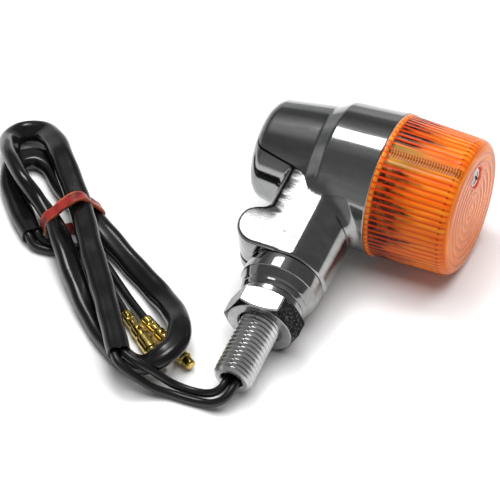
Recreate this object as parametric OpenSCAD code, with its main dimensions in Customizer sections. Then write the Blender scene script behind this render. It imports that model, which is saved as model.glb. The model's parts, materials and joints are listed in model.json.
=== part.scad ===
// Turn signal indicator for a motorcycle: a round chrome lamp on a leg that clamps a hollow stud,
// with two wires in a sleeve, folded into a hank and tied with a rubber band.
//
// The lamp's own pieces are drawn upright: +X along the lamp towards the lens, +Z up, the stud's
// axis on Z and the origin where that axis meets the lamp's. laid() then lays them on the table,
// with the stud towards -Y and down until the nut and the cup both touch it. The cord's pieces are
// drawn straight in the row's frame.

/* [Lamp housing] */
// Outer diameter of the cup at its mouth
cup_mouth_d = 36.1; // [35.5:0.1:36.5]
// Outer diameter of the cup at its back
cup_back_d = 33.8; // [33:0.1:34.5]
// Outer diameter of the barrel in front of the cup
barrel_front_d = 29.6; // [29:0.1:30]
// Outer diameter of the barrel at its closed rear
barrel_rear_d = 24.4; // [24:0.1:25]
// Distance from the stud's axis to the cup's mouth
mouth_x = 13; // [12.8:0.1:13.4]
// Length of the cup
cup_len = 13.7; // [13.5:0.1:14]
// Length of the chamfer between cup and barrel
step_len = 3.6; // [3.4:0.1:3.8]
// Length of the barrel
barrel_len = 15.8; // [15.6:0.1:16.4]
// Radius of the barrel's rear edge
rear_edge_r = 3; // [2:0.5:3.5]

/* [Leg and clamp] */
// Diameter of the leg
leg_d = 20.4; // [20:0.1:20.8]
// Distance from the lamp's axis to the leg's lower face
leg_drop = 34.7; // [34.5:0.1:35]
// Distance from the stud's axis to the leg's flat front face
flat_y = 10; // [9.8:0.1:10.1]
// Radius of the clamp's lobe
lobe_r = 6; // [5.8:0.1:6.2]
// Width of the clamp's slit
slit_w = 1; // [0.6:0.1:1.4]
// Distance from the stud's axis to the clamp screw
clamp_x = 9.4; // [9.2:0.1:9.6]
// Distance from the lamp's axis to the clamp screw
clamp_drop = 28; // [27.8:0.1:28.2]
// Thread diameter of the clamp screw
clamp_d = 4; // [3:0.5:4]

/* [Stud, collar and nut] */
// Outer diameter of the stud's thread
stud_d = 10; // [10:0.1:10]
// Diameter of the bore through the stud
stud_bore_d = 5.7; // [5.5:0.1:5.8]
// Distance from the lamp's axis to the stud's free end
stud_drop = 67.3; // [66.5:0.1:68]
// Chamfer at the stud's free end
stud_chamfer = 0.9; // [0.6:0.1:1]
// Diameter of the collar's upper band
collar_d = 19.8; // [19.4:0.1:20]
// Distance from the lamp's axis to the collar's lower face
collar_drop = 43; // [42.8:0.1:43]
// Thickness of the spring washer
washer_t = 1.6; // [1.4:0.1:1.6]
// Thickness of the nut
nut_t = 6; // [5.8:0.1:6]
// Distance across the nut's flats
nut_flat_d = 17; // [16.8:0.1:17]

/* [Lens] */
// Length of the lens, from the cup's mouth to its end face
lens_len = 21.2; // [21:0.1:21.5]
// Outer diameter of the lens at its end
lens_end_d = 34.4; // [34:0.1:34.8]
// Radius of the lens's rounded front edge
lens_edge_r = 2.5; // [2:0.5:3]
// Wall of the lens
lens_wall = 1.8; // [1.5:0.1:1.9]
// Distance from the lamp's axis to the lens screw
screw_off = 8.8; // [8.7:0.1:8.9]
// Angle of the lens screw round the lamp's axis, from the top towards the leg's flat face
screw_at = 64; // [58:1:70]

/* [Bulb and socket] */
// Diameter of the bulb's cap
cap_d = 9.2; // [9:0.1:9.3]
// Inner diameter of the socket
socket_bore_d = 9.7; // [9.6:0.1:9.8]
// Outer diameter of the socket
socket_d = 11.1; // [11:0.1:11.2]
// Travel of the bulb when it is pushed in
bulb_travel = 1.5; // [1:0.1:1.5]
// Turn of the bulb from its seat to the slots' entries
bulb_turn = 25; // [20:1:30]

/* [Cord] */
// Outer diameter of the sleeve
sleeve_d = 5.2; // [5:0.1:5.2]
// Outer diameter of each wire
wire_d = 2.1; // [1.8:0.1:2.1]
// Largest diameter of a bullet connector
bullet_d = 3.9; // [3.7:0.1:4]

/* [Hidden] */
$fn = 64;

nut_front = collar_drop + washer_t + nut_t;
// The stud's slope on the table: the cup's rim and the nut's lower edge are then at one height.
lean = asin(cup_mouth_d / 2 / sqrt(pow(nut_front, 2) + pow(nut_flat_d / 2, 2)))
     - atan2(nut_flat_d / 2, nut_front);
rear_x = mouth_x - cup_len - step_len - barrel_len;
lens_end_x = mouth_x + lens_len;
stud_r = stud_d / 2;
shank_r = stud_r - 0.25;
stud_reach_y = stud_drop * cos(lean) + (stud_r - stud_chamfer) * sin(lean);
middle = [-(rear_x + lens_end_x) / 2, (stud_reach_y - cup_mouth_d / 2) / 2, cup_mouth_d / 2];

run_gap = 0.05;
stud_top = 20;
cavity_r = 10.9;
cavity_rear_x = -18;
shelf_x = 2;
cup_bore_r = 15.9;
gasket_r = 17;
gasket_t = 0.8;
post_r = 2.5;
boss_r = 2.6;
screw_r = 1.45;
screw_head_r = 2.45;
screw_head_t = 1.6;
recess_x = lens_end_x - 2.1;
recess_r = 3;
bracket_t = 1;
bracket_screw_off = 12.9;
pin_x = 4.4;
pin_r = 0.8;
base_x = -7.6;
disc_x = -2.6;
contact_r = 0.8;

wire_r = wire_d / 2;
sleeve_r = sleeve_d / 2;
wire_gap = 1.2;

// The sleeve's route over the table: out of its first mouth, under the band, round the top loop,
// back under the band, round the bottom loop, a third time under the band and round the small loop.
sleeve_route = [
    [-34, -47, 8.3], [-41, -37, 8.3], [-48, -27, 8.1], [-55, -17.5, 8], [-61.5, -8, 7.8],
    [-66, -2, 7.8], [-71, 4, 8.1], [-76, 10, 8.1], [-80.5, 15.5, 6.4], [-86, 19.5, 4],
    [-90.5, 18.5, 3.2], [-91.5, 14, 4], [-89, 8, 6.4], [-85, 2.5, 8.1], [-80, -2.5, 8],
    [-74.5, -5.5, 6], [-69, -9.5, 5], [-65.5, -13.5, 5.2], [-62, -17.5, 5.2], [-55, -25.5, 4],
    [-47, -33.5, 2.8], [-38.5, -40.5, 2.7], [-33, -43.5, 2.8], [-28.5, -44.5, 4.4],
    [-25, -42.5, 6.6], [-23.5, -38, 7.2], [-25, -32, 6.8], [-29, -26, 5], [-36, -19.5, 3],
    [-46.5, -12.5, 2.7], [-57, -6, 3.5], [-67.5, 1, 3.5], [-74, 6, 2.8], [-79, 11, 2.7],
    [-84, 12, 2.7], [-87.5, 8.5, 2.7], [-86.3, 2.8, 2.7], [-81.6, -3.9, 2.7],
    [-76.4, -9.6, 2.7], [-72.9, -13.2, 2.7]];
// The wires' routes from the sleeve's first mouth to the stud, whose bore they follow inside.
wire_a_route = [
    [-35, -47.7, 8.3], [-33, -49.7, 8], [-30.5, -50.4, 7], [-27.5, -50, 4.8], [-24, -49.2, 2.6],
    [-20, -48.2, 1.4], [-15.5, -48, 1.2], [-12, -47.8, 1.4], [-9, -47.6, 2.2],
    [-6.9, -46.6, 3.4], [-5.9, -44.4, 4.5]];
wire_b_route = [
    [-33, -46.3, 8.3], [-30, -47.7, 8.2], [-27, -47.8, 7.4], [-24, -46.8, 5], [-20.5, -45.8, 2.4],
    [-16, -45.4, 1.6], [-12, -45.4, 2.3], [-9.6, -45.2, 3.6], [-8.4, -44, 4.6]];
// The wires' routes from the sleeve's second mouth to the bullet connectors.
tail_a_route = [
    [-72.1, -12.4, 2.7], [-69.9, -13.4, 1.6], [-66.4, -12.9, 1.1], [-62, -11.6, 1.1],
    [-58, -11.2, 1.1], [-53, -14, 1.1], [-47.5, -18.5, 1.1], [-41.5, -23.5, 1.3],
    [-35.7, -28.2, 2]];
tail_b_route = [
    [-73.7, -14, 2.7], [-71.2, -15.7, 1.6], [-67.5, -15.5, 1.1], [-62, -14, 1.1],
    [-58, -14, 1.1], [-54, -16.5, 1.1], [-49.5, -20.3, 1.1], [-45, -24.3, 1.3],
    [-40.8, -28.4, 2]];
bullet_a_end = [-18.3, -38.5, 2];
bullet_b_end = [-25.2, -41, 2];
band_middle = [-65.6, -5.6, 0];
band_turn = 49.5;
band_w = 3;
band_t = 0.9;

module laid() {
    translate(middle) rotate([lean - 90, 0, 0]) children();
}

// Turns a solid that was drawn along +Z so that it lies along +X.
module along_x() {
    rotate([0, 90, 0]) children();
}

module at_screw() {
    translate([0, -screw_off * sin(screw_at), screw_off * cos(screw_at)]) along_x() children();
}

module at_clamp() {
    translate([-clamp_x, 0, -clamp_drop]) rotate([-90, 0, 0]) children();
}

// A point on a line beside the stud's axis, in the row's frame, as far down as drop.
function in_bore(side, drop) =
    [middle.x + side, middle.y - drop * cos(lean), middle.z - drop * sin(lean)];

function unit(v) = v / norm(v);
function heading(route, i) =
    unit(unit(route[min(i + 1, len(route) - 1)] - route[i] + [0, 0, 0.0001])
       + unit(route[i] - route[max(i - 1, 0)] + [0, 0, 0.0001]));
function way(route, i) =
    i == 0 ? unit(route[1] - route[0])
    : i == len(route) - 1 ? unit(route[i] - route[i - 1]) : heading(route, i);
function ring(route, i, r, sides, aside) =
    let (t = way(route, i), u = unit(cross(aside, t)), v = cross(t, u))
    [for (k = [0 : sides - 1]) route[i] + r * (cos(360 * k / sides) * u
                                            + sin(360 * k / sides) * v)];

// A tube along a route. aside is a direction that the route never runs along.
module tube(route, r, sides, aside) {
    n = len(route);
    points = [for (i = [0 : n - 1]) each ring(route, i, r, sides, aside)];
    walls = [for (i = [0 : n - 2], k = [0 : sides - 1])
        let (a = i * sides + k, b = i * sides + (k + 1) % sides)
        each [[a, b, b + sides], [a, b + sides, a + sides]]];
    ends = [[for (k = [sides - 1 : -1 : 0]) k], [for (k = [0 : sides - 1]) (n - 1) * sides + k]];
    polyhedron(points, concat(walls, ends));
}

module housing_outside() {
    rear_r = barrel_rear_d / 2;
    rotate_extrude() polygon(concat(
        [[0, rear_x]],
        [for (t = [0 : 15 : 90]) [rear_r - rear_edge_r + rear_edge_r * sin(t),
                                  rear_x + rear_edge_r - rear_edge_r * cos(t)]],
        [[barrel_front_d / 2, mouth_x - cup_len - step_len], [cup_back_d / 2, mouth_x - cup_len],
         [cup_mouth_d / 2, mouth_x], [0, mouth_x]]));
}

module housing_inside() {
    rotate_extrude() polygon([
        [0, cavity_rear_x], [cavity_r - 1.5, cavity_rear_x], [cavity_r, cavity_rear_x + 5],
        [cavity_r, shelf_x], [cup_bore_r, shelf_x], [cup_bore_r, mouth_x - gasket_t],
        [gasket_r, mouth_x - gasket_t], [gasket_r, mouth_x + 1], [0, mouth_x + 1]]);
}

module leg_outside() {
    back_y = 4.4;
    rim = 2;
    right_x = 2.4;
    left_x = 9.6;
    translate([0, 0, -leg_drop]) {
        cylinder(h = rim, r1 = leg_d / 2 - 1, r2 = leg_d / 2);
        translate([0, 0, rim]) cylinder(h = leg_drop - rim - 5, d = leg_d);
    }
    // The clamp's block, with its flat front face and its lobe
    rotate([90, 0, 0]) translate([0, 0, -back_y]) {
        translate([-left_x, rim - leg_drop, 0])
            cube([left_x + right_x, leg_drop - rim - 5, flat_y + back_y]);
        translate([-8.3, -28.5, 0]) cylinder(h = flat_y + back_y, r = lobe_r);
        translate([-8.3, -28.5 - lobe_r, 0])
            cube([8.3, lobe_r, flat_y + back_y - rim]);
    }
}

module housing() {
    color("silver") laid() difference() {
        union() {
            difference() {
                union() {
                    along_x() housing_outside();
                    leg_outside();
                }
                along_x() housing_inside();
            }
            intersection() {
                at_screw() translate([0, 0, -8]) cylinder(h = mouth_x - 1.5 + 8, r = post_r);
                along_x() translate([0, 0, -8]) cylinder(h = mouth_x + 8, r = cavity_r + 0.6);
            }
        }
        at_screw() translate([0, 0, 1]) cylinder(h = mouth_x, r = screw_r + run_gap);
        // Bore for the stud, and the leads' way up into the lamp
        translate([0, 0, -leg_drop - 1])
            cylinder(h = leg_drop + 1 - stud_top + run_gap, r = stud_r + run_gap);
        translate([0, 0, -stud_top - 1]) cylinder(h = stud_top - 8, r = 4.2);
        // Slit, screw holes and the recess for the clamp screw's head
        translate([-20, -slit_w / 2, -leg_drop - 1]) cube([20 - stud_r + 1, slit_w, 15]);
        at_clamp() {
            translate([0, 0, -7.5]) cylinder(h = 12.5, r = clamp_d / 2);
            cylinder(h = 6, r = clamp_d / 2 + 0.15);
            translate([0, 0, 4.4]) cylinder(h = 8, r = 4.1);
        }
        for (side = [90, -90]) rotate([screw_at + side, 0, 0])
            translate([-3.5, 0, bracket_screw_off]) along_x() cylinder(h = 6, r = 1.3);
    }
}

module clamp_screw() {
    color("dimgray") laid() at_clamp() difference() {
        union() {
            translate([0, 0, -7]) cylinder(h = 11.6, r = clamp_d / 2 - run_gap);
            translate([0, 0, 4.5]) cylinder(h = 3.2, r = 3.7);
            translate([0, 0, 7.7]) cylinder(h = 0.6, r1 = 3.7, r2 = 3.1);
        }
        translate([0, 0, 6.2]) cylinder(h = 3, r = 1.75, $fn = 6);
    }
}

module stud() {
    color("gainsboro") laid() difference() {
        union() {
            translate([0, 0, -stud_drop + stud_chamfer])
                cylinder(h = stud_drop - stud_chamfer - stud_top, r = shank_r);
            // The free thread past the nut, at its full diameter
            translate([0, 0, -stud_drop + stud_chamfer])
                cylinder(h = stud_drop - stud_chamfer - nut_front, r = stud_r);
            translate([0, 0, -stud_drop])
                cylinder(h = stud_chamfer, r1 = stud_r - stud_chamfer, r2 = stud_r);
        }
        translate([0, 0, -stud_drop - 1]) cylinder(h = stud_drop, d = stud_bore_d);
    }
}

module swivel_collar() {
    collar_r = collar_d / 2;
    top = -leg_drop - 0.2;
    color("silver") laid() rotate_extrude() polygon([
        [stud_r + run_gap, top], [collar_r - 0.3, top], [collar_r, top - 0.3],
        [collar_r, top - 3.7], [collar_r - 0.3, top - 4], [collar_r - 0.9, top - 6.2],
        [8.5, top - 6.6], [8.6, top - 7.2], [8, -collar_drop], [stud_r + run_gap, -collar_drop]]);
}

module spring_washer() {
    split = 0.8;
    color("silver") laid() translate([0, 0, -collar_drop - washer_t]) difference() {
        cylinder(h = washer_t, r = 8);
        translate([0, 0, -1]) cylinder(h = washer_t + 2, r = stud_r + 0.2);
        rotate([0, 0, 200]) translate([0, -split / 2, -1]) cube([10, split, washer_t + 2]);
    }
}

module nut() {
    corner_r = nut_flat_d / 2 / cos(30);
    flat_r = nut_flat_d / 2 - 0.3;
    color("gainsboro") laid() translate([0, 0, -nut_front]) difference() {
        intersection() {
            cylinder(h = nut_t, r = corner_r, $fn = 6);
            union() {
                cylinder(h = 0.9, r1 = flat_r, r2 = corner_r);
                translate([0, 0, 0.9]) cylinder(h = nut_t - 1.8, r = corner_r + 0.1);
                translate([0, 0, nut_t - 0.9]) cylinder(h = 0.9, r1 = corner_r, r2 = flat_r);
            }
        }
        translate([0, 0, -1]) cylinder(h = nut_t + 2, r = stud_r + run_gap);
    }
}

module lens_gasket() {
    color("black") laid() translate([mouth_x - gasket_t, 0, 0]) along_x() difference() {
        cylinder(h = gasket_t - 0.05, r = gasket_r - 0.05);
        translate([0, 0, -1]) cylinder(h = gasket_t + 2, r = cup_bore_r + 0.05);
    }
}

module lens_outside() {
    back_x = mouth_x + 0.1;
    end_r = lens_end_d / 2;
    rotate_extrude() polygon(concat(
        [[0, back_x], [cup_mouth_d / 2 - 0.05, back_x], [cup_mouth_d / 2 - 0.05, back_x + 0.7],
         [cup_mouth_d / 2 - 0.35, back_x + 0.8]],
        [for (t = [0 : 15 : 90]) [end_r - lens_edge_r + lens_edge_r * cos(t),
                                  lens_end_x - lens_edge_r + lens_edge_r * sin(t)]],
        [[0, lens_end_x]]));
}

module lens_inside() {
    end_r = lens_end_d / 2 - lens_wall;
    rotate_extrude() polygon([
        [0, mouth_x - 3], [14.4, mouth_x - 3], [14.4, mouth_x + 1], [16, mouth_x + 2],
        [end_r, lens_end_x - lens_wall - 2], [end_r - 2, lens_end_x - lens_wall],
        [0, lens_end_x - lens_wall]]);
}

module lens() {
    spigot = 2.4;
    color("darkorange") laid() difference() {
        union() {
            difference() {
                along_x() {
                    lens_outside();
                    translate([0, 0, mouth_x - spigot]) cylinder(h = spigot + 1, r = 15.6);
                }
                along_x() lens_inside();
            }
            at_screw() {
                translate([0, 0, mouth_x - 1]) cylinder(h = lens_len, r = boss_r);
                translate([0, 0, recess_x - 1.2]) cylinder(h = 2, r = recess_r + 0.9);
            }
        }
        at_screw() {
            cylinder(h = 40, r = screw_r + 0.2);
            translate([0, 0, recess_x]) cylinder(h = 5, r = recess_r);
        }
    }
}

module lens_screw() {
    cross_w = 0.7;
    head_x = recess_x + 0.05;
    color("lightgray") laid() at_screw() difference() {
        union() {
            translate([0, 0, 3]) cylinder(h = head_x - 2.9, r = screw_r);
            translate([0, 0, head_x]) cylinder(h = screw_head_t / 2, r = screw_head_r);
            translate([0, 0, head_x + screw_head_t / 2])
                cylinder(h = screw_head_t / 2, r1 = screw_head_r, r2 = screw_head_r - 0.8);
        }
        for (turn = [20, 110]) rotate([0, 0, turn])
            translate([-1.5, -cross_w / 2, head_x + 0.6]) cube([3, cross_w, 2]);
    }
}

module socket_bracket() {
    color("lightsteelblue") laid() difference() {
        along_x() translate([0, 0, shelf_x + 0.05]) cylinder(h = bracket_t, r = cup_bore_r - 0.5);
        along_x() cylinder(h = 8, r = socket_d / 2 + run_gap);
        at_screw() cylinder(h = 8, r = post_r + 0.4);
        for (side = [90, -90]) rotate([screw_at + side, 0, 0])
            translate([0, 0, bracket_screw_off]) along_x() cylinder(h = 8, r = 1.4);
    }
}

module bracket_screws() {
    color("silver") laid() for (side = [90, -90]) rotate([screw_at + side, 0, 0])
        translate([0, 0, bracket_screw_off]) along_x() difference() {
            union() {
                translate([0, 0, -3]) cylinder(h = 6.2, r = 1.2);
                translate([0, 0, shelf_x + bracket_t + 0.1]) cylinder(h = 1.6, r = 2.3);
            }
            for (turn = [0, 90]) rotate([0, 0, turn])
                translate([-1.4, -0.3, shelf_x + bracket_t + 1]) cube([2.8, 0.6, 2]);
        }
}

// A wedge from the lamp's axis outwards, for the socket's slots.
module sector(from, to, x0, x1) {
    out = 8;
    middle_at = (from + to) / 2;
    translate([x0, 0, 0]) rotate([90, 0, 90]) linear_extrude(x1 - x0)
        polygon([[0, 0], [out * cos(from), out * sin(from)],
                 [out * cos(middle_at), out * sin(middle_at)], [out * cos(to), out * sin(to)]]);
}

module socket_shell() {
    half_slot = 12;
    color("lightgray") laid() difference() {
        along_x() translate([0, 0, -8]) difference() {
            cylinder(h = 16, d = socket_d);
            translate([0, 0, -1]) cylinder(h = 18, d = socket_bore_d);
        }
        for (side = [0, 180]) rotate([side, 0, 0]) {
            sector(-half_slot, bulb_turn + half_slot, pin_x - pin_r - bulb_travel - 0.2,
                   pin_x + pin_r + 0.15);
            sector(bulb_turn - half_slot, bulb_turn + half_slot, pin_x, 9);
        }
    }
}

module socket_base() {
    color("saddlebrown") laid() along_x() translate([0, 0, base_x - 1.8]) difference() {
        cylinder(h = 1.8, d = socket_bore_d - 0.1);
        translate([0, 0, -1]) cylinder(h = 4, r = contact_r + 0.1);
    }
}

module contact_disc() {
    color("saddlebrown") laid() along_x() translate([0, 0, disc_x - 1]) difference() {
        cylinder(h = 1, d = cap_d);
        translate([0, 0, -1]) cylinder(h = 3, r = contact_r + 0.02);
    }
}

module contact_pin() {
    color("goldenrod") laid() along_x() {
        translate([0, 0, -11.5]) cylinder(h = 11.6 + disc_x, r = contact_r);
        translate([0, 0, disc_x + 0.05]) cylinder(h = 0.5, r = 2);
    }
}

module contact_spring() {
    turns = 3;
    steps = 10;
    coil_r = 3.2;
    coil_wire_r = 0.3;
    room = disc_x - 1 - base_x - 2 * coil_wire_r - 0.2;
    route = [for (i = [0 : turns * steps])
        let (a = 360 * i / steps)
        [base_x + coil_wire_r + 0.1 + room * i / (turns * steps),
         coil_r * cos(a), coil_r * sin(a)]];
    color("silver") laid() tube(route, coil_wire_r, 6, [1, 0, 0]);
}

module bulb_cap() {
    color("burlywood") laid() {
        along_x() translate([0, 0, -0.6]) difference() {
            cylinder(h = 9.6, d = cap_d);
            translate([0, 0, -1]) cylinder(h = 12, d = cap_d - 0.8);
        }
        for (side = [0, 180]) rotate([side, 0, 0])
            translate([pin_x, cap_d / 2 - 0.3, 0]) rotate([-90, 0, 0])
                cylinder(h = 1.2, r = pin_r);
    }
}

module bulb_insulator() {
    color("black") laid() along_x() translate([0, 0, -1.2]) difference() {
        cylinder(h = 1.6, d = cap_d - 0.9);
        translate([0, 0, -1]) cylinder(h = 4, r = 1.45);
    }
}

module bulb_contact() {
    color("lightgray") laid() along_x() translate([0, 0, -2]) {
        cylinder(h = 0.4, r1 = 1, r2 = 1.4);
        translate([0, 0, 0.4]) cylinder(h = 2, r = 1.4);
    }
}

module bulb_glass() {
    glass_r = 4.1;
    wall = 0.6;
    neck_x = 1;
    dome_x = 19.9;
    color("white", 0.4) laid() along_x() difference() {
        union() {
            translate([0, 0, neck_x]) cylinder(h = dome_x - neck_x, r = glass_r);
            translate([0, 0, dome_x]) sphere(r = glass_r);
        }
        translate([0, 0, neck_x + wall]) cylinder(h = dome_x - neck_x - wall, r = glass_r - wall);
        translate([0, 0, dome_x]) sphere(r = glass_r - wall);
    }
}

module bulb_filament() {
    post_x = 15;
    spread = 1.8;
    color("gray") laid() {
        for (side = [-1, 1]) translate([1.7, side * spread, 0]) along_x()
            cylinder(h = post_x - 1.7, r = 0.25);
        translate([post_x, -spread - 0.25, 0]) rotate([-90, 0, 0])
            cylinder(h = 2 * spread + 0.5, r = 0.3);
    }
}

module power_lead() {
    color("black") laid() tube([
        [-wire_gap, 0, -23.8], [-wire_gap, 0, -19], [-1.9, 0, -14], [-3.4, 0, -10.2],
        [-6.8, 0, -7], [-10.9, 0, -5.4], [-11.8, 0, -3.6], [-11.8, 0, -2]],
        wire_r, 8, [0, 1, 0]);
}

module earth_lead() {
    color("black") laid() tube([
        [wire_gap, 0, -23.8], [wire_gap, 0, -20], [0.8, 0, -15.6], [0.5, 0, -10.5],
        [0.2, 0, -8], [0.2, 0, -5.8]],
        wire_r, 8, [0, 1, 0]);
}

module wire(route, side) {
    color("black") tube(concat(route, [in_bore(side, stud_drop - 2), in_bore(side, 24.1)]),
                        wire_r, 8, [0, 0, 1]);
}

module wire_a() {
    wire(wire_a_route, wire_gap);
}

module wire_b() {
    wire(wire_b_route, -wire_gap);
}

module lead_sleeve() {
    color("black") tube(sleeve_route, sleeve_r, 10, [0, 0, 1]);
}

module tail_wire_a() {
    color("black") tube(tail_a_route, wire_r, 8, [0, 0, 1]);
}

module tail_wire_b() {
    color("black") tube(tail_b_route, wire_r, 8, [0, 0, 1]);
}

// A bullet connector from start to end: crimped ferrule, collar, barrel, groove and nose.
module bullet(start, end) {
    aim = end - start;
    r = bullet_d / 2;
    long = norm(aim);
    color("goldenrod") translate(start) rotate([0, 0, atan2(aim.y, aim.x)]) along_x()
        rotate_extrude() polygon([
            [0, 0.1], [1.3, 0.1], [1.3, 5.4], [r - 0.3, 5.8], [r - 0.3, 8.6], [1.4, 8.8],
            [1.4, 9.6], [r, 9.8], [r, long - 6.2], [1.5, long - 5.8], [1.5, long - 5],
            [r - 0.1, long - 4.4], [r - 0.1, long - 2.2], [1.1, long], [0, long]]);
}

module bullet_a() {
    bullet(tail_a_route[len(tail_a_route) - 1], bullet_a_end);
}

module bullet_b() {
    bullet(tail_b_route[len(tail_b_route) - 1], bullet_b_end);
}

// The band's outline, drawn tight round the three runs of sleeve that it holds.
module band_outline(r) {
    hull() {
        translate([-4.6, 4.9]) circle(r = r, $fn = 32);
        translate([0.9, 7.8]) circle(r = r, $fn = 32);
        translate([4.4, 3.7]) circle(r = r, $fn = 32);
    }
}

module rubber_band() {
    inner_r = sleeve_r + 0.15;
    color("firebrick") translate(band_middle) rotate([90, 0, band_turn])
        translate([0, 0, -band_w / 2]) linear_extrude(band_w) difference() {
            band_outline(inner_r + band_t);
            band_outline(inner_r);
        }
}

housing();
clamp_screw();
stud();
swivel_collar();
spring_washer();
nut();
lens_gasket();
lens();
lens_screw();
socket_bracket();
bracket_screws();
socket_shell();
socket_base();
contact_disc();
contact_pin();
contact_spring();
bulb_cap();
bulb_insulator();
bulb_contact();
bulb_glass();
bulb_filament();
power_lead();
earth_lead();
wire_a();
wire_b();
lead_sleeve();
tail_wire_a();
tail_wire_b();
bullet_a();
bullet_b();
rubber_band();
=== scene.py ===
"""Turn signal indicator for a motorcycle: the looks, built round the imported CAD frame.

Lengths inside the script are in millimetres and become metres when a mesh is made. The lamp's own
pieces are drawn upright, as the CAD source draws them: +X along the lamp towards the lens, +Z up,
the stud's axis on Z and the flat polished face towards -Y. laid() turns them into the row's frame.
"""

import json
import math

import bpy
import numpy as np
from mathutils import Matrix, Vector


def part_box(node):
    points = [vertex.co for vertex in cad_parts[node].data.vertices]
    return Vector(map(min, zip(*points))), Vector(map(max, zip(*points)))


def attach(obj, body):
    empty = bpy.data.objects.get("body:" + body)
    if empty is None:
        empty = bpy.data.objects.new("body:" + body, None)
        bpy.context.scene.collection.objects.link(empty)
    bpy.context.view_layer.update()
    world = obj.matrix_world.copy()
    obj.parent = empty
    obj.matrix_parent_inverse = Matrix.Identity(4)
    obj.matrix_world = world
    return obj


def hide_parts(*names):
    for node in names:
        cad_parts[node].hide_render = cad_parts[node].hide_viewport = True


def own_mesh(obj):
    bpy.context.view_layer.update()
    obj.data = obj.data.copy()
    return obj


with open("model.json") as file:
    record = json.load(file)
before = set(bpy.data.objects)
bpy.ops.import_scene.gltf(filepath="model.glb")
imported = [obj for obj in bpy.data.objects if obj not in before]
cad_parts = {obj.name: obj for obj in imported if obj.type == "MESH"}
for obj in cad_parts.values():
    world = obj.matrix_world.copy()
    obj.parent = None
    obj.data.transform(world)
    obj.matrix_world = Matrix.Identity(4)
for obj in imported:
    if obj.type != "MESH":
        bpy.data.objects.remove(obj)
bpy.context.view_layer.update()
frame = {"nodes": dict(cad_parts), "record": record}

MM = 0.001

# ------------ sizes, as the CAD source has them
CUP_MOUTH_R, CUP_BACK_R, BARREL_FRONT_R, BARREL_REAR_R = 18.05, 16.9, 14.8, 12.2
MOUTH_X, CUP_LEN, STEP_LEN, BARREL_LEN, REAR_EDGE_R = 13.0, 13.7, 3.6, 15.8, 3.0
REAR_X = MOUTH_X - CUP_LEN - STEP_LEN - BARREL_LEN
LEG_R, LEG_DROP, FLAT_Y, LOBE_R, SLIT_W = 10.2, 34.7, 10.0, 6.0, 1.0
FLAT_LEFT_X, FLAT_RIGHT_X, LOBE_X, LOBE_Z = -9.6, 2.4, -8.3, -28.5
BLOCK_BACK_Y, FOOT_TOP_Z, FOOT_Z = 4.4, -28, -34.5
ROOM_END_X, ROOM_FRONT_X, ROOM_END_R, ROOM_FRONT_R = -18, -13, 9.4, 10.9
CUP_HOLLOW_X, CUP_HOLLOW_R, SEAT_R, SEAT_DEPTH = 2, 15.9, 17, 0.8
POST_R, POST_END_X, POST_REACH_R = 2.5, -8, 11.5
LEG_HOLLOW_R, LEG_HOLLOW_TOP, SLIT_TOP = 4.2, 9, 20.7
BRACKET_HOLE_OFF, BRACKET_HOLE_R = 12.9, 1.3
CLAMP_X, CLAMP_DROP, CLAMP_R, CLAMP_SEAT_R, CLAMP_HEAD_R, CLAMP_SOCKET_R = 9.4, 28.0, 2.0, 4.1, 3.7, 1.5
STUD_R, STUD_BORE_R, STUD_DROP, STUD_CHAMFER, STUD_TOP = 5.0, 2.85, 67.3, 0.9, 20.0
COLLAR_R, COLLAR_DROP, WASHER_T, NUT_T, NUT_FLAT_R = 9.9, 43.0, 1.6, 6.0, 8.5
NUT_FRONT = COLLAR_DROP + WASHER_T + NUT_T
LENS_LEN, LENS_END_R, LENS_EDGE_R, LENS_WALL = 21.2, 17.2, 2.5, 1.8
LENS_END_X = MOUTH_X + LENS_LEN
SCREW_OFF, SCREW_AT = 8.8, math.radians(64)
SCREW_Y, SCREW_Z = -SCREW_OFF * math.sin(SCREW_AT), SCREW_OFF * math.cos(SCREW_AT)
RECESS_X, RECESS_R, SCREW_R, SCREW_HEAD_R, SCREW_HEAD_T = LENS_END_X - 1.8, 2.8, 1.45, 2.45, 1.7
WIRE_R, WIRE_GAP = 1.05, 1.2
BULLET_R = 1.95
THREAD_PITCH, THREAD_DEPTH = 1.25, 0.42
SCREW_PITCH, SCREW_DEPTH = 0.7, 0.35
PLAY = 0.05  # between a thread or shank and its hole
BULB_PRESS_TRAVEL, SPRING_WIRE_R, SPRING_TURNS = 1.5, 0.3, 3

LEAN = math.asin(CUP_MOUTH_R / math.hypot(NUT_FRONT, NUT_FLAT_R)) - math.atan2(NUT_FLAT_R, NUT_FRONT)
STUD_REACH_Y = STUD_DROP * math.cos(LEAN) + (STUD_R - STUD_CHAMFER) * math.sin(LEAN)
MIDDLE = np.array([-(REAR_X + LENS_END_X) / 2, (STUD_REACH_Y - CUP_MOUTH_R) / 2, CUP_MOUTH_R])
TURN = LEAN - math.pi / 2
LAY = np.array([[1, 0, 0], [0, math.cos(TURN), -math.sin(TURN)], [0, math.sin(TURN), math.cos(TURN)]])

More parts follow.
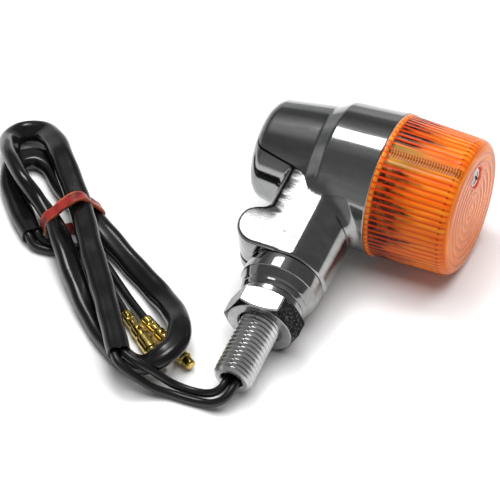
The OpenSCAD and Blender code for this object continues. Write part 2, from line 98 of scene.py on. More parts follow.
# ------------ the cord's routes, in millimetres
SLEEVE_ROUTE = [
    (-34, -47, 8.3), (-41, -37, 8.3), (-48, -27, 8.1), (-55, -17.5, 8), (-61.5, -8, 7.8),
    (-66, -2, 7.8), (-71, 4, 8.1), (-76, 10, 8.1), (-80.5, 15.5, 6.4), (-86, 19.5, 4),
    (-90.5, 18.5, 3.2), (-91.5, 14, 4), (-89, 8, 6.4), (-85, 2.5, 8.1), (-80, -2.5, 8),
    (-74.5, -5.5, 6), (-69, -9.5, 5), (-65.5, -13.5, 5.2), (-62, -17.5, 5.2), (-55, -25.5, 4),
    (-47, -33.5, 2.8), (-38.5, -40.5, 2.7), (-33, -43.5, 2.8), (-28.5, -44.5, 4.4),
    (-25, -42.5, 6.6), (-23.5, -38, 7.2), (-25, -32, 6.8), (-29, -26, 5), (-36, -19.5, 3),
    (-46.5, -12.5, 2.7), (-57, -6, 3.5), (-67.5, 1, 3.5), (-74, 6, 2.8), (-79, 11, 2.7),
    (-84, 12, 2.7), (-87.5, 8.5, 2.7), (-86.3, 2.8, 2.7), (-81.6, -3.9, 2.7),
    (-76.4, -9.6, 2.7), (-72.9, -13.2, 2.7)]
WIRE_ROUTES = {
    "a": [(-35, -47.7, 8.3), (-33, -49.7, 8), (-30.5, -50.4, 7), (-27.5, -50, 4.8), (-24, -49.2, 2.6),
          (-20, -48.2, 1.4), (-15.5, -48, 1.2), (-12, -47.8, 1.4), (-9, -47.6, 2.2),
          (-6.9, -46.6, 3.4), (-5.9, -44.4, 4.5)],
    "b": [(-33, -46.3, 8.3), (-30, -47.7, 8.2), (-27, -47.8, 7.4), (-24, -46.8, 5), (-20.5, -45.8, 2.4),
          (-16, -45.4, 1.6), (-12, -45.4, 2.3), (-9.6, -45.2, 3.6), (-8.4, -44, 4.6)]}
TAIL_ROUTES = {
    "a": [(-72.1, -12.4, 2.7), (-69.9, -13.4, 1.6), (-66.4, -12.9, 1.1), (-62, -11.6, 1.1),
          (-58, -11.2, 1.1), (-53, -14, 1.1), (-47.5, -18.5, 1.1), (-41.5, -23.5, 1.3), (-35.7, -28.2, 2)],
    "b": [(-73.7, -14, 2.7), (-71.2, -15.7, 1.6), (-67.5, -15.5, 1.1), (-62, -14, 1.1),
          (-58, -14, 1.1), (-54, -16.5, 1.1), (-49.5, -20.3, 1.1), (-45, -24.3, 1.3), (-40.8, -28.4, 2)]}
BULLET_ENDS = {"a": (-18.3, -38.5, 2), "b": (-25.2, -41, 2)}
BAND_MIDDLE, BAND_TURN, BAND_W, BAND_T = (-65.6, -5.6, 0), math.radians(49.5), 3.0, 0.9
BAND_INNER_R = 2.75


# ------------ camera
CAMERA_ANGLES = (23.3, 43.75, 0.93)  # round from the front, up, and rolled, in degrees
CAMERA_AIM, CAMERA_AWAY, CAMERA_LENS = (-0.0217, 0.0024, 0.0041), 1.5, 443.3


def make_camera():
    turn, rise, roll = (math.radians(a) for a in CAMERA_ANGLES)
    back = Vector((math.cos(rise) * math.sin(turn), -math.cos(rise) * math.cos(turn), math.sin(rise)))
    level = Vector((math.cos(turn), math.sin(turn), 0))
    over = back.cross(level)
    right = math.cos(roll) * level + math.sin(roll) * over
    up = math.cos(roll) * over - math.sin(roll) * level
    data = bpy.data.cameras.new("camera")
    data.sensor_width, data.lens = 36, CAMERA_LENS
    data.clip_start, data.clip_end = 0.05, 20
    camera = bpy.data.objects.new("camera", data)
    bpy.context.scene.collection.objects.link(camera)
    turned = Matrix((right, up, back)).transposed().to_4x4()
    camera.matrix_world = Matrix.Translation(Vector(CAMERA_AIM) + CAMERA_AWAY * back) @ turned
    bpy.context.scene.camera = camera


make_camera()


# ------------ mesh helpers
def laid(points):
    """Points drawn upright, in the row's frame."""
    return np.asarray(points, float) @ LAY.T + MIDDLE


def in_bore(side, drop):
    return MIDDLE + LAY @ np.array([side, 0, -drop])


def piece(name, verts, faces, mat, body, slot, replaces, sharp=40, normals=None):
    """A visible piece from vertices in millimetres, riding on a body and standing for CAD nodes."""
    mesh = bpy.data.meshes.new(name)
    mesh.from_pydata((np.asarray(verts) * MM).tolist(), [], [list(f) for f in faces])
    mesh.polygons.foreach_set("use_smooth", [True] * len(mesh.polygons))
    if normals is not None:
        mesh.normals_split_custom_set_from_vertices([tuple(n) for n in normals])
    else:
        mesh.set_sharp_from_angle(angle=math.radians(sharp))
    mesh.update()
    obj = bpy.data.objects.new(name, mesh)
    bpy.context.scene.collection.objects.link(obj)
    mesh.materials.append(mat)
    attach(obj, body)
    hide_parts(*replaces)
    return obj


def joined(*parts):
    """Several (verts, faces) as one."""
    verts, faces, at = [], [], 0
    for v, f in parts:
        verts.append(np.asarray(v))
        faces += [[i + at for i in face] for face in f]
        at += len(v)
    return np.concatenate(verts), faces


def ring_faces(rings, sides, loop=False):
    """Quads between rings of sides points each, closed round, with end caps or joined end to end."""
    faces = []
    for i in range(rings if loop else rings - 1):
        a, b = i * sides, ((i + 1) % rings) * sides
        for k in range(sides):
            n = (k + 1) % sides
            faces.append((a + k, a + n, b + n, b + k))
    if not loop:
        faces.append(tuple(range(sides - 1, -1, -1)))
        faces.append(tuple((rings - 1) * sides + k for k in range(sides)))
    return faces


def turned_ring(x, r, sides):
    """One ring of points about +X; x and r are numbers, or r is one radius for each point."""
    t = np.arange(sides) * 2 * math.pi / sides
    return np.stack([np.full(sides, x), r * np.cos(t), r * np.sin(t)], -1)


def down_stud(verts):
    """What was drawn about +X turned to run down the stud, in the row's frame."""
    return laid(np.stack([verts[:, 2], -verts[:, 1], -verts[:, 0]], -1))


def rounded_profile(points, r, steps=4):
    """A line of points with each inner corner rounded."""
    out = [points[0]]
    for a, b, c in zip(points, points[1:], points[2:]):
        a, b, c = (np.array(q, float) for q in (a, b, c))
        la, lc = np.linalg.norm(a - b), np.linalg.norm(c - b)
        cut = min(r, la * 0.45, lc * 0.45)
        p, q = b + (a - b) / la * cut, b + (c - b) / lc * cut
        for i in range(steps + 1):
            t = i / steps
            out.append(tuple((1 - t) ** 2 * p + 2 * t * (1 - t) * b + t * t * q))
    return out + [points[-1]]


# ------------ solids from distances
def both(a, b, r):
    """Where both are, with a rounded edge of radius r."""
    return np.minimum(-r, np.maximum(a, b)) + np.hypot(np.maximum(r + a, 0), np.maximum(r + b, 0))


def either(a, b, r):
    """Where either is, with a fillet of radius r."""
    return np.maximum(r, np.minimum(a, b)) - np.hypot(np.maximum(r - a, 0), np.maximum(r - b, 0))


def without(a, b, r):
    """Where a is and b isn't, with a rounded edge of radius r."""
    return both(a, -b, r)


def slab(v, low, high):
    """Where v is between low and high."""
    return np.maximum(low - v, v - high)


def soft_line(x, xs, ys, width):
    """A broken line with its corners softened over width."""
    return np.mean([np.interp(x + width * s, xs, ys) for s in np.linspace(-1, 1, 9)], axis=0)


def gradient(solid, p, h):
    g = np.empty_like(p)
    for i in range(3):
        step = np.zeros(3)
        step[i] = h
        g[:, i] = (solid(p + step) - solid(p - step)) / (2 * h)
    return g


def meshed(solid, low, high, cell):
    """(verts, faces, normals) of the surface where solid's distance is 0: one vertex for each cell that
    the surface crosses, moved onto it."""
    low, high = np.array(low, float), np.array(high, float)
    n = np.ceil((high - low) / cell).astype(int) + 1
    axes = [low[i] + cell * np.arange(n[i]) for i in range(3)]
    d = np.empty(n, np.float32)
    yy, zz = np.meshgrid(axes[1], axes[2], indexing="ij")
    for i, x in enumerate(axes[0]):
        p = np.stack([np.full(yy.size, x), yy.ravel(), zz.ravel()], -1)
        d[i] = solid(p).reshape(yy.shape)
    inside = d < 0
    total, count = np.zeros((*(n - 1), 3), np.float32), np.zeros(n - 1, np.float32)
    for axis in range(3):
        others = [a for a in range(3) if a != axis]
        for u in (0, 1):
            for v in (0, 1):
                s0, s1 = [slice(0, -1)] * 3, [slice(1, None)] * 3
                for o, w in zip(others, (u, v)):
                    s0[o] = s1[o] = slice(1, None) if w else slice(0, -1)
                a, b = d[tuple(s0)], d[tuple(s1)]
                cross = inside[tuple(s0)] != inside[tuple(s1)]
                total[..., axis] += np.where(cross, a / np.where(cross, a - b, 1), 0)
                total[..., others[0]] += cross * u
                total[..., others[1]] += cross * v
                count += cross
    cells = np.argwhere(count > 0)
    index = np.full(count.shape, -1, np.int64)
    index[tuple(cells.T)] = np.arange(len(cells))
    at = tuple(cells.T)
    verts = low + cell * (cells + total[at] / count[at][:, None])
    faces = []
    for axis in range(3):
        b, c = (axis + 1) % 3, (axis + 2) % 3
        s0, s1 = [slice(None)] * 3, [slice(None)] * 3
        s0[axis], s1[axis] = slice(0, -1), slice(1, None)
        edges = np.argwhere(inside[tuple(s0)] != inside[tuple(s1)])
        eb, ec = edges[:, b], edges[:, c]
        edges = edges[(eb > 0) & (ec > 0) & (eb < n[b] - 1) & (ec < n[c] - 1)]
        corners = []
        for db, dc in ((-1, -1), (0, -1), (0, 0), (-1, 0)):
            e = edges.copy()
            e[:, b] += db
            e[:, c] += dc
            corners.append(index[tuple(e.T)])
        quads = np.stack(corners, -1)
        out = inside[tuple(edges.T)]
        faces.append(np.where(out[:, None], quads, quads[:, ::-1]))
    faces = np.concatenate(faces)
    for _ in range(4):
        g = gradient(solid, verts, 0.02)
        move = g * (solid(verts) / np.maximum((g * g).sum(1), 0.05))[:, None]
        far = np.linalg.norm(move, axis=1)
        verts = verts - move * np.minimum(1, 0.4 * cell / np.maximum(far, 1e-9))[:, None]
    normals = gradient(solid, verts, 0.08)
    normals /= np.maximum(np.linalg.norm(normals, axis=1), 1e-9)[:, None]
    return verts, faces.tolist(), normals


def hexagon(u, v, r, first):
    """Distance to a hexagon r from centre to flat, its first flat facing first degrees round."""
    return np.max([u * math.cos(a) + v * math.sin(a) - r
                   for a in np.radians([first + 60 * k for k in range(6)])], axis=0)


def solid_piece(name, solid, low, high, cell, mat, body, **more):
    verts, faces, normals = meshed(solid, low, high, cell)
    return piece(name, laid(verts), faces, mat, body, normals=normals @ LAY.T, **more)


# ------------ materials
class Nodes:
    """A node material in the making. Coordinates are the object's own, which are the row's in metres."""

    def __init__(self, name, colour=(0.5, 0.5, 0.5), metallic=0.0, roughness=0.5, **sockets):
        self.mat = bpy.data.materials.new(name)
        self.mat.use_nodes = True
        self.tree = self.mat.node_tree
        self.shader = self.tree.nodes["Principled BSDF"]
        self.shader.inputs["Base Color"].default_value = (*colour, 1)
        self.shader.inputs["Metallic"].default_value = metallic
        self.shader.inputs["Roughness"].default_value = roughness
        for key, value in sockets.items():
            self.shader.inputs[key.replace("_", " ")].default_value = value
        self.place = self.tree.nodes.new("ShaderNodeTexCoord").outputs["Object"]

    def node(self, kind, **inputs):
        node = self.tree.nodes.new(kind)
        for key, value in inputs.items():
            self.put(node.inputs[key.replace("_", " ")], value)
        return node

    def put(self, socket, value):
        if isinstance(value, bpy.types.NodeSocket):
            self.tree.links.new(value, socket)
        else:
            socket.default_value = value

    def math(self, operation, a, b=0.0):
        node = self.tree.nodes.new("ShaderNodeMath")
        node.operation = operation
        self.put(node.inputs[0], a)
        self.put(node.inputs[1], b)
        return node.outputs[0]

    def times(self, a, b):
        return self.math("MULTIPLY", a, b)

    def plus(self, a, b):
        return self.math("ADD", a, b)

    def round_axis(self, a, b):
        """The root of a squared and b squared."""
        return self.math("POWER", self.plus(self.times(a, a), self.times(b, b)), 0.5)

    def noise(self, scale, detail=3.0, rough=0.55, distortion=0.0, place=None):
        return self.node("ShaderNodeTexNoise", Vector=place or self.place, Scale=scale, Detail=detail,
                         Roughness=rough, Distortion=distortion).outputs["Fac"]

    def step(self, value, low, high, to_low=0.0, to_high=1.0):
        node = self.tree.nodes.new("ShaderNodeMapRange")
        node.interpolation_type = "SMOOTHSTEP"
        for socket, v in zip(node.inputs, (value, low, high, to_low, to_high)):
            self.put(socket, v)
        return node.outputs[0]

    def mix(self, share, a, b):
        node = self.tree.nodes.new("ShaderNodeMix")
        node.data_type = "RGBA"
        for socket, v in ((node.inputs[0], share), (node.inputs[6], a), (node.inputs[7], b)):
            if not isinstance(v, (float, bpy.types.NodeSocket)):
                v = (*v, 1)
            self.put(socket, v)
        return node.outputs[2]

    def along(self, direction, origin):
        """How far each point lies along a direction from a point, both in the row's frame, in metres."""
        off = self.tree.nodes.new("ShaderNodeVectorMath")
        off.operation = "SUBTRACT"
        self.put(off.inputs[0], self.place)
        off.inputs[1].default_value = tuple(origin)
        dot = self.tree.nodes.new("ShaderNodeVectorMath")
        dot.operation = "DOT_PRODUCT"
        self.put(dot.inputs[0], off.outputs[0])
        dot.inputs[1].default_value = tuple(direction)
        return dot.outputs["Value"]

    def upright(self, axis):
        """How far each point lies along an axis of the upright drawing, in metres."""
        return self.along(LAY[:, axis], MIDDLE * MM)

    def stretched(self, scale):
        return self.node("ShaderNodeMapping", Vector=self.place, Scale=scale).outputs[0]

    def so_far(self, name):
        return self.shader.inputs[name].links[0].from_socket

    def colour(self, value):
        self.put(self.shader.inputs["Base Color"], value)

    def colour_over(self, share, value):
        self.colour(self.mix(share, self.so_far("Base Color"), value))

    def roughness(self, value):
        self.put(self.shader.inputs["Roughness"], value)

    def bump(self, height, strength, distance):
        before = self.shader.inputs["Normal"]
        node = self.node("ShaderNodeBump", Height=height, Strength=strength, Distance=distance)
        if before.is_linked:
            self.put(node.inputs["Normal"], before.links[0].from_socket)
        self.put(before, node.outputs[0])


def grey(value):
    return value, value, value


def metal(name, colour, dark, rough, wave=0.15, scratch=0.1, speck=0.0):
    """A metal with slow colour change, smudges in its gloss, fine scratches and dark specks."""
    m = Nodes(name, metallic=1.0)
    smudge = m.noise(55, 3)
    m.colour(m.mix(m.step(m.plus(smudge, m.times(m.noise(900, 3), 0.3)), 0.45, 0.8), colour, dark))
    if speck:
        m.colour_over(m.step(m.noise(1500, 2), 0.66, 0.72, 0.0, speck), dark)
    m.roughness(m.step(smudge, 0.35, 0.7, *rough))
    m.bump(m.noise(45, 1), wave, 0.0002)
    m.bump(m.noise(2500, 3, place=m.stretched((1, 0.08, 1))), scratch, 0.00004)
    return m


def chrome_material():
    """Polished chrome, with lighter streaks along the lamp, partly grain and partly a painted reflection.
    Its flat face keeps the swirls of the polishing wheel, and along the notch a ragged painted dark
    reflection of its rolled edge there."""
    m = metal("chrome_plate", (0.29, 0.297, 0.293), (0.22, 0.226, 0.223), (0.085, 0.15), 0.02, 0.05)
    # partly grain, partly painted reflection: lighter streaks along the lamp
    grain_and_painted_streaks = m.step(m.noise(260, 3, place=m.stretched((0.05, 1, 1))), 0.35, 0.7, 0.0, 0.6)
    m.colour_over(grain_and_painted_streaks, (0.40, 0.405, 0.40))
    out = m.along(LAY @ np.array([0, -1, 0]), MIDDLE * MM)
    under_barrel = m.step(m.upright(2), -0.006, -0.004, 1.0, 0.0)
    face = m.times(m.times(m.step(out, 0.0097, 0.00985), under_barrel),
                   m.step(out, 0.0101, 0.0102, 1.0, 0.0))
    rings = m.math("SINE", m.times(m.noise(190, 4, 0.6, 2.5), 60))
    m.bump(m.times(rings, face), 0.16, 0.00004)
    ragged = m.noise(700, 3, 0.6, place=m.stretched((0.25, 1, 1)))
    aside = m.plus(m.upright(0), m.times(m.plus(ragged, -0.5), 0.006))
    # painted shade: the flat face is painted near black along the notch, standing in for the dark reflection
    # of its rolled edge
    painted_dark_edge = m.times(m.step(aside, -0.0076, -0.0038, 1.0, 0.0), m.step(m.upright(2), -0.029, -0.024))
    polish = m.mix(m.step(rings, 0.0, 1.0, 0.0, 0.6), grey(0.27), grey(0.21))
    m.colour_over(face, m.mix(painted_dark_edge, polish, grey(0.012)))
    m.roughness(m.plus(m.so_far("Roughness"), m.times(face, 0.05)))
    return m.mat


RIBS, RING_GAP = 70, 2.05
SEEN_AT = math.radians(99)  # the side of the wall where the long screw shows through
SEEN_Y, SEEN_Z = -math.sin(SEEN_AT), math.cos(SEEN_AT)


def amber_material():
    """Clear amber acrylic. Its ribs and end rings show as painted light and dark lines, the dark inside seen
    through the wall above the cup as a painted shade, and the long screw's thread, seen through the wall, as
    colour."""
    m = Nodes("amber_acrylic", roughness=0.12, IOR=1.27, Transmission_Weight=0.35, Specular_IOR_Level=0.3)
    x, y, z = (m.times(m.upright(axis), 1000.0) for axis in range(3))
    r = m.round_axis(y, z)
    streak = m.noise(420, 3, 0.6, place=m.stretched((0.12, 1, 1)))
    mottle = m.noise(260, 3)

    # the wall: ribs painted as light and dark lines, and the painted shade of the dark inside, seen through
    # the wall, that reaches a ragged way up from the cup
    rib = m.math("COSINE", m.times(m.math("ARCTAN2", z, y), float(RIBS)))
    # painted light and shade: the ribs' lines, dark on the plain wall and lighter within the painted shade
    # above the cup
    line = m.step(rib, 0.0, 0.8)
    body = m.mix(m.step(streak, 0.35, 0.65), (1.0, 0.17, 0.008), (1.0, 0.31, 0.02))
    plain = m.mix(m.times(line, 0.75), body, (0.68, 0.06, 0.004))
    # painted shade: the dark inside, seen through the wall above the cup, with a ragged top
    reach = m.plus(x, m.times(m.plus(streak, -0.5), -26.0))
    painted_inside_shade = m.times(m.step(reach, MOUTH_X + 5.0, MOUTH_X + 13.0, 1.0, 0.0),
                   m.step(x, MOUTH_X + 0.9, MOUTH_X + 1.5))
    painted_inside_murk = m.mix(m.step(mottle, 0.4, 0.7), (0.05, 0.006, 0.002), (0.42, 0.10, 0.012))
    wall = m.mix(painted_inside_shade, plain, m.mix(line, painted_inside_murk, (0.75, 0.055, 0.006)))

    # the long screw behind the wall: an olive shade and its thread
    facing = m.step(m.plus(m.times(y, SEEN_Y), m.times(z, SEEN_Z)), 0.0, 1.0)
    across = m.math("ABSOLUTE", m.math("SUBTRACT", m.times(z, SEEN_Y), m.times(y, SEEN_Z)))
    inside = m.times(facing, m.step(x, MOUTH_X + 1.5, MOUTH_X + 2.5))
    olive = m.times(m.step(across, 2.2, 3.6, 1.0, 0.0), m.step(x, MOUTH_X + 5, MOUTH_X + 17, 0.75, 0.15))
    wall = m.mix(m.times(inside, olive), wall,
                 m.mix(m.step(streak, 0.4, 0.6), (0.42, 0.26, 0.05), (0.85, 0.42, 0.06)))
    turns = m.times(m.plus(x, m.times(across, 0.2)), 2 * math.pi / SCREW_PITCH)
    thread = m.mix(m.step(m.math("COSINE", turns), -0.3, 0.6), (0.62, 0.17, 0.02), (0.10, 0.022, 0.004))
    wall = m.mix(m.times(inside, m.step(across, 1.0, 1.4, 0.85, 0.0)), wall, thread)

    # the end: rings painted light and dark, painted shade in the notches at the ribs' ends, and the
    # saturated red of the screw's recess
    ring = m.math("COSINE", m.times(r, 2 * math.pi / RING_GAP))
    rings = m.mix(m.step(ring, 0.3, 0.9, 0.0, 0.55), (1.0, 0.24, 0.015), (0.60, 0.11, 0.01))
    colour = m.mix(m.step(x, LENS_END_X - 1.2, LENS_END_X - 0.4), wall, rings)
    # painted shade: dark notches where the ribs end at the rounded corner
    notch = m.times(m.step(x, LENS_END_X - 2.7, LENS_END_X - 2.4),
                    m.step(x, LENS_END_X - 2.0, LENS_END_X - 1.8, 1.0, 0.0))
    notch = m.times(notch, m.step(rib, -0.1, 0.5))
    colour = m.mix(m.times(notch, 0.55), colour, (0.12, 0.02, 0.004))
    off_squared = m.plus(m.math("POWER", m.math("SUBTRACT", y, SCREW_Y), 2.0),
                         m.math("POWER", m.math("SUBTRACT", z, SCREW_Z), 2.0))
    well = m.times(m.step(off_squared, 8.5, 19.0, 1.0, 0.0), m.step(x, LENS_END_X - 5, LENS_END_X - 2.0))
    m.colour(m.mix(m.times(well, 0.85), colour, (0.80, 0.03, 0.008)))
    m.roughness(m.step(mottle, 0.3, 0.7, 0.10, 0.17))
    m.bump(m.noise(350, 3), 0.05, 0.0001)
    return m.mat


def nut_material():
    """Zinc plate, with the hexagon's sides painted dark and speckled, a painted shade, but for the one
    towards -Y, left plain.
    """
    m = metal("nut_zinc", (0.50, 0.50, 0.495), grey(0.30), (0.17, 0.27), 0.02, 0.25, 0.5)
    x, y = m.upright(0), m.upright(1)
    # painted shade: every side of the hexagon but the one towards -Y is painted dark, with specks in it
    side = m.times(m.step(m.round_axis(x, y), 0.0082, 0.0084), m.step(y, -0.0083, -0.0081))
    m.colour_over(side, m.mix(m.step(m.noise(1600, 3), 0.5, 0.75), grey(0.012), grey(0.13)))
    return m.mat


def pvc_material(name, colour, rough, wave):
    """Soft or moulded plastic and rubber: a little dust, uneven gloss, slow and fine unevenness."""
    m = Nodes(name, colour=colour, roughness=rough[0])
    dust = m.noise(420, 4)
    m.colour(m.mix(m.step(dust, 0.5, 0.8, 0.0, 0.6), colour, tuple(c * 1.5 + 0.002 for c in colour)))
    m.roughness(m.step(m.noise(160, 3), 0.3, 0.7, *rough))
    m.bump(m.noise(230, 3), wave, 0.0003)
    m.bump(m.noise(1800, 2), 0.08, 0.00006)
    return m.mat


def band_material():
    """Red rubber, mottled dark, with paler orange-brown edges."""
    m = Nodes("red_rubber", roughness=0.5)
    spots = m.noise(420, 4, 0.65)
    base = m.mix(m.step(spots, 0.42, 0.66), (0.26, 0.016, 0.012), (0.07, 0.008, 0.006))
    axis = (math.sin(BAND_TURN), -math.cos(BAND_TURN), 0)
    away = m.math("ABSOLUTE", m.along(axis, np.array(BAND_MIDDLE) * MM))
    edge = m.step(m.plus(away, m.times(m.noise(500), 0.0008)), 0.0015, 0.0019)
    m.colour(m.mix(m.times(edge, 0.6), base, (0.45, 0.13, 0.04)))
    m.roughness(m.step(spots, 0.3, 0.7, 0.35, 0.6))
    m.bump(spots, 0.25, 0.0002)
    return m.mat


def glass_material():
    m = Nodes("clear_glass", (0.96, 0.97, 0.97), roughness=0.02, IOR=1.5, Transmission_Weight=0.95)
    m.roughness(m.step(m.noise(200, 2), 0.4, 0.7, 0.01, 0.06))
    m.bump(m.noise(120, 2), 0.05, 0.0002)
    return m.mat


# metal: name, colour, dark colour, least and most roughness, wave, scratch, speck
# pvc: name, colour, least and most roughness, wave
MATERIALS = {
    "chrome": chrome_material(),
    "collar": metal("collar_chrome", (0.34, 0.345, 0.34), (0.25, 0.255, 0.25), (0.07, 0.13), 0.02, 0.1).mat,
    "dark_steel": metal("dark_steel", (0.16, 0.16, 0.165), (0.06, 0.06, 0.062), (0.16, 0.3), 0.1, 0.2).mat,
    "zinc": metal("zinc_plate", (0.50, 0.50, 0.495), grey(0.30), (0.17, 0.27), 0.02, 0.25, 0.5).mat,
    "nut": nut_material(),
    "thread": metal("thread_zinc", (0.60, 0.60, 0.595), grey(0.40), (0.3, 0.42), 0.02, 0.25, 0.5).mat,
    "screw_steel": metal("dull_steel", (0.42, 0.43, 0.42), grey(0.2), (0.25, 0.42), 0.1, 0.3, 0.6).mat,
    "brass": metal("bright_brass", (0.80, 0.62, 0.19), (0.42, 0.28, 0.07), (0.14, 0.28), 0.02, 0.2, 0.4).mat,
    "solder": metal("solder_grey", grey(0.5), grey(0.3), (0.3, 0.5), 0.3, 0.2).mat,
    "amber": amber_material(),
    "clear_glass": glass_material(),
    "black_pvc": pvc_material("black_pvc", (0.0035, 0.0035, 0.0038), (0.13, 0.24), 0.1),
    "wire_pvc": pvc_material("wire_pvc", (0.005, 0.005, 0.0055), (0.22, 0.34), 0.05),
    "black_rubber": pvc_material("black_rubber", grey(0.02), (0.5, 0.7), 0.1),
    "black_plastic": pvc_material("black_insulator", (0.014, 0.014, 0.015), (0.12, 0.2), 0.04),
    "phenolic": pvc_material("brown_phenolic", (0.16, 0.07, 0.03), (0.35, 0.5), 0.06),
    "red_rubber": band_material(),
}
NODE_SLOTS = {s["node"]: s["material_slot"] for s in frame["record"]["subparts"]}
for node_name, node_obj in frame["nodes"].items():
    node_obj.data.materials.clear()
    node_obj.data.materials.append(MATERIALS[NODE_SLOTS[node_name]])


# ------------ cords
def spline(points, gap):
    """A smooth curve through points, as points about gap apart."""
    p = np.array(points, float)
    p = np.concatenate([[2 * p[0] - p[1]], p, [2 * p[-1] - p[-2]]])
    out = []
    for a, b, c, d in zip(p, p[1:], p[2:], p[3:]):
        t1 = np.linalg.norm(b - a) ** 0.5
        t2 = t1 + np.linalg.norm(c - b) ** 0.5
        t3 = t2 + np.linalg.norm(d - c) ** 0.5
        for t in np.linspace(t1, t2, max(2, int(np.linalg.norm(c - b) / gap * 2)), endpoint=False):
            a1 = (t1 - t) / t1 * a + t / t1 * b
            a2 = (t2 - t) / (t2 - t1) * b + (t - t1) / (t2 - t1) * c
            a3 = (t3 - t) / (t3 - t2) * c + (t - t2) / (t3 - t2) * d
            b1 = (t2 - t) / t2 * a1 + t / t2 * a2
            b2 = (t3 - t) / (t3 - t1) * a2 + (t - t1) / (t3 - t1) * a3
            out.append((t2 - t) / (t2 - t1) * b1 + (t - t1) / (t2 - t1) * b2)
    out = np.array(out + [p[-2]])
    walked = np.concatenate([[0], np.cumsum(np.linalg.norm(np.diff(out, axis=0), axis=1))])
    even = np.linspace(0, walked[-1], max(3, round(walked[-1] / gap) + 1))
    return np.stack([np.interp(even, walked, out[:, i]) for i in range(3)], -1)


def frames(path):
    """(side, up) at each point of a path, with side kept level."""
    t = np.gradient(path, axis=0)
    t /= np.linalg.norm(t, axis=1)[:, None]
    side = np.cross(t, (0, 0, 1.0))
    side /= np.linalg.norm(side, axis=1)[:, None]
    return side, np.cross(side, t)


def tube(rings):
    """(verts, faces) of a tube from its rings of points, with its faces outwards."""
    return np.concatenate(rings), [f[::-1] for f in ring_faces(len(rings), len(rings[0]))]


def round_tube(path, r, sides=16):
    side, up = frames(path)
    angle = np.arange(sides) * 2 * math.pi / sides
    s, u = (r * np.cos(angle))[:, None], (r * np.sin(angle))[:, None]
    return tube([p + s * side[i] + u * up[i] for i, p in enumerate(path)])


SLEEVE_HALF_W, SLEEVE_HALF_T = 3.0, 2.15
SLEEVE_WALL, SLEEVE_SIDES = 0.5, 28
# (millimetres along it, degrees it is turned about its own line)
SLEEVE_TWIST = [(0, 0), (60, 8), (95, 35), (118, 75), (135, 35), (150, 5), (200, 0), (222, 30),
                (240, 20), (255, 0), (306, 0)]


def sleeve_path():
    """The sleeve's line, let down a little where it lies on the table."""
    route = [(x, y, z - 0.4 * max(0.0, min(1.0, (5 - z) / 2.3))) for x, y, z in SLEEVE_ROUTE]
    return spline(route, 0.9)


def make_sleeve():
    """The soft sleeve: a flattened tube with the two wires showing as ridges, open at both mouths."""
    path = sleeve_path()
    walked = np.arange(len(path)) * np.linalg.norm(path[1] - path[0])
    twist = np.radians(np.interp(walked, *zip(*SLEEVE_TWIST)))
    wave = np.sin(walked * 0.61) * 0.5 + np.sin(walked * 0.23 + 1.3) * 0.5
    mouth, last = 8, len(path) - 1
    # (point of the path, 1 on the outer surface and 0 on the inner one)
    stations = [(mouth, 0), (mouth // 2, 0), (1, 0), (0, 0), (0, 0.6)]
    stations += [(i, 1) for i in range(len(path))]
    stations += [(last, 0.6), (last, 0), (last - 1, 0), (last - mouth // 2, 0), (last - mouth, 0)]
    side, up = frames(path)
    angle = np.arange(SLEEVE_SIDES) * 2 * math.pi / SLEEVE_SIDES
    c, s = np.cos(angle), np.sin(angle)
    rings = []
    for i, outer in stations:
        thin = SLEEVE_WALL * (1 - outer)
        open_up = 0.25 * math.exp(-min(walked[i], walked[-1] - walked[i]) / 6)
        across = (SLEEVE_HALF_W - thin + 0.12 * wave[i] - open_up) * c
        dent = 1 - 0.15 * np.exp(-(c / 0.38) ** 2)
        high = (SLEEVE_HALF_T - thin - 0.1 * wave[i] + open_up) * np.sign(s) * np.abs(s) ** 0.85 * dent
        a, b = math.cos(twist[i]), math.sin(twist[i])
        rings.append(path[i] + (a * across - b * high)[:, None] * side[i]
                     + (b * across + a * high)[:, None] * up[i])
    obj = piece("sleeve_pvc", *tube(rings), MATERIALS["black_pvc"], "stud", slot="black_pvc",
                replaces=["lead_sleeve"], sharp=50)
    return obj, path


def make_wires(sleeve):
    """The two wires from inside the stud's bore to inside the sleeve's first mouth."""
    inward = sleeve[9] - sleeve[0]
    for name, route in WIRE_ROUTES.items():
        side = WIRE_GAP if name == "a" else -WIRE_GAP
        inside = [in_bore(side, 45), in_bore(side, 55), in_bore(side, STUD_DROP - 2)]
        path = spline(inside + route[::-1] + [np.array(route[0]) + inward * 0.8], 0.6)
        obj = piece(f"wire_{name}_pvc", *round_tube(path, WIRE_R), MATERIALS["wire_pvc"], "stud",
                    slot="black_pvc", replaces=[f"wire_{name}"])


def make_tails(sleeve, bullets):
    """The two wires from inside the sleeve's second mouth to their bullets."""
    inward = sleeve[-10] - sleeve[-1]
    for name, route in TAIL_ROUTES.items():
        start = np.array(route[0]) + inward * 0.8
        way = np.array(BULLET_ENDS[name]) - route[-1]
        path = spline([start] + route + [route[-1] + way / np.linalg.norm(way) * 0.6], 0.6)
        obj = piece(f"tail_{name}_pvc", *round_tube(path, WIRE_R), MATERIALS["wire_pvc"], "stud",
                    slot="black_pvc", replaces=[f"tail_wire_{name}"])


def profile_solid(points, r):
    """Distance to a turned solid about +X from its (x, radius) outline, with its edges rounded by r."""
    loop = [(points[0][0], -1.0), *points, (points[-1][0], -1.0)]

    def solid(p):
        q = np.stack([p[:, 0], np.hypot(p[:, 1], p[:, 2])], -1)
        best = np.full(len(q), 1e9)
        sign = np.ones(len(q))
        for a, b in zip(loop, loop[1:] + loop[:1]):
            a, b = np.array(a, float), np.array(b, float)
            e, w = b - a, q - a
            t = np.clip((w @ e) / max(e @ e, 1e-12), 0, 1)
            best = np.minimum(best, ((w - t[:, None] * e) ** 2).sum(1))
            over = (q[:, 1] >= a[1]) != (q[:, 1] >= b[1])
            left = q[:, 0] < a[0] + (q[:, 1] - a[1]) * e[0] / (e[1] if abs(e[1]) > 1e-12 else 1e-12)
            sign = np.where(over & left, -sign, sign)
        return sign * np.sqrt(best) - r
    return solid


